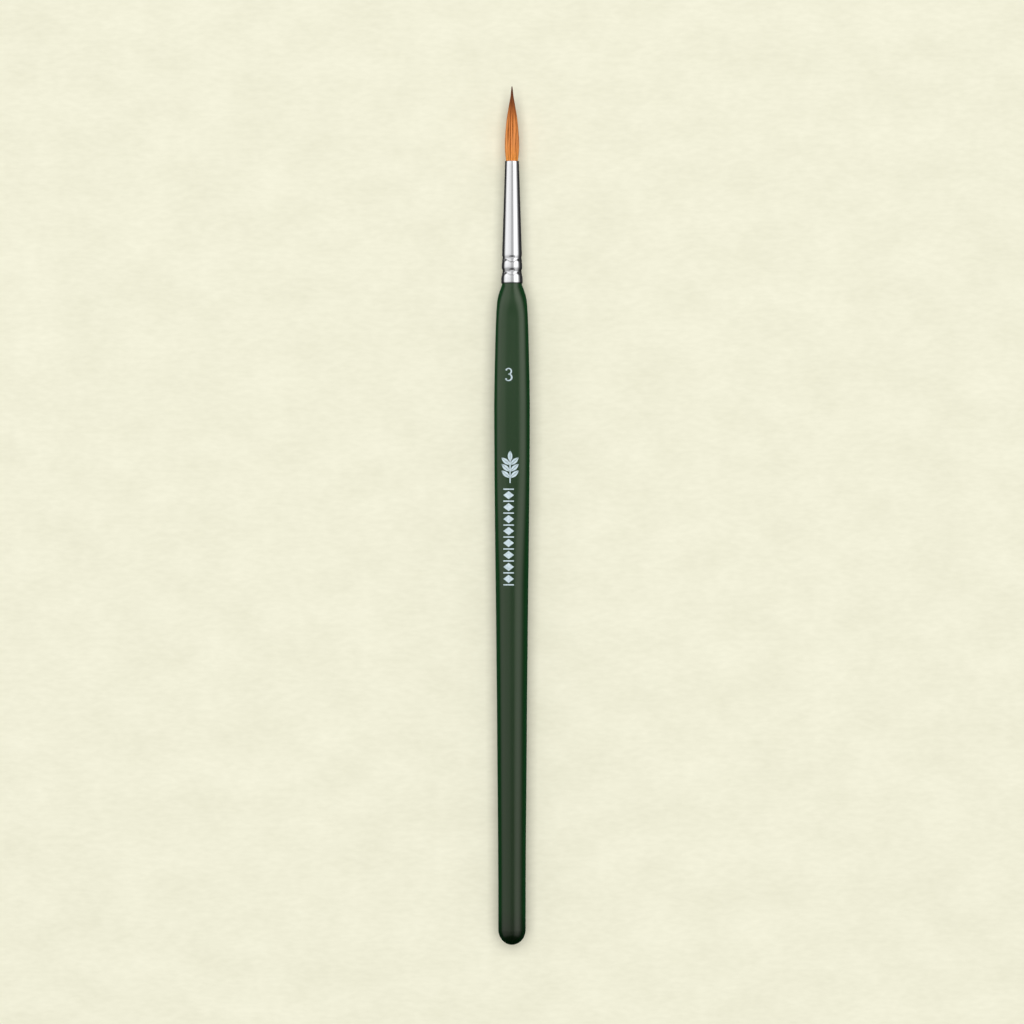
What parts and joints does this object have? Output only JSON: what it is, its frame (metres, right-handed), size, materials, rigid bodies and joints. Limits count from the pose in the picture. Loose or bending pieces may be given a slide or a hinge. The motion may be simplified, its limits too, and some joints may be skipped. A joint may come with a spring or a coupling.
{
  "type": "fine detail brush",
  "caption": "Fine detail paint brush: pointed tuft that flexes, tapered crimped metal ferrule, and a green lacquered wooden handle with a three-sided grip.",
  "frame": {"origin": "bottom centre of the box round the brush, below the middle of its length", "axes": "+Y along the brush from the butt of the handle to the tip of the hair, +Z out of the printed face of the grip, +X to the right when the tip points away from the viewer"},
  "size_m": [0.0074, 0.18, 0.0074],
  "materials": {
    "birch": "turned, unvarnished",
    "primer": "matt dipped primer",
    "green_lacquer": "dark green dipped lacquer, satin gloss",
    "nickel_plate": "polished nickel plate on a drawn brass tube",
    "wood_glue": "hardened glue",
    "epoxy": "amber cast resin",
    "thread": "waxed thread",
    "hair": "golden brown hair, darker at the tip",
    "pale_foil": "hot-stamped pale silver-blue foil"
  },
  "bodies": {
    "handle": {"handle_core": "birch", "primer_coat": "primer", "lacquer_coat": "green_lacquer", "ferrule": "nickel_plate", "tenon_glue": "wood_glue", "resin_plug": "epoxy", "binding_thread": "thread", "hair_base": "hair", "size_mark": "pale_foil", "leaf_mark": "pale_foil", "border_mark": "pale_foil"},
    "belly": {"hair_belly": "hair"},
    "point": {"hair_tip": "hair"}
  },
  "joints": [
    {"name": "belly_bend", "type": "hinge", "parent": "handle", "child": "belly", "pos_m": [0, 0.0768, 0.00397], "axis": [0, 0, 1], "range_deg": [-20, 20], "stiffness_Nm_per_rad": 0.002},
    {"name": "point_bend", "type": "hinge", "parent": "belly", "child": "point", "pos_m": [0, 0.0828, 0.00397], "axis": [0, 0, 1], "range_deg": [-20, 20], "stiffness_Nm_per_rad": 0.0006}
  ]
}
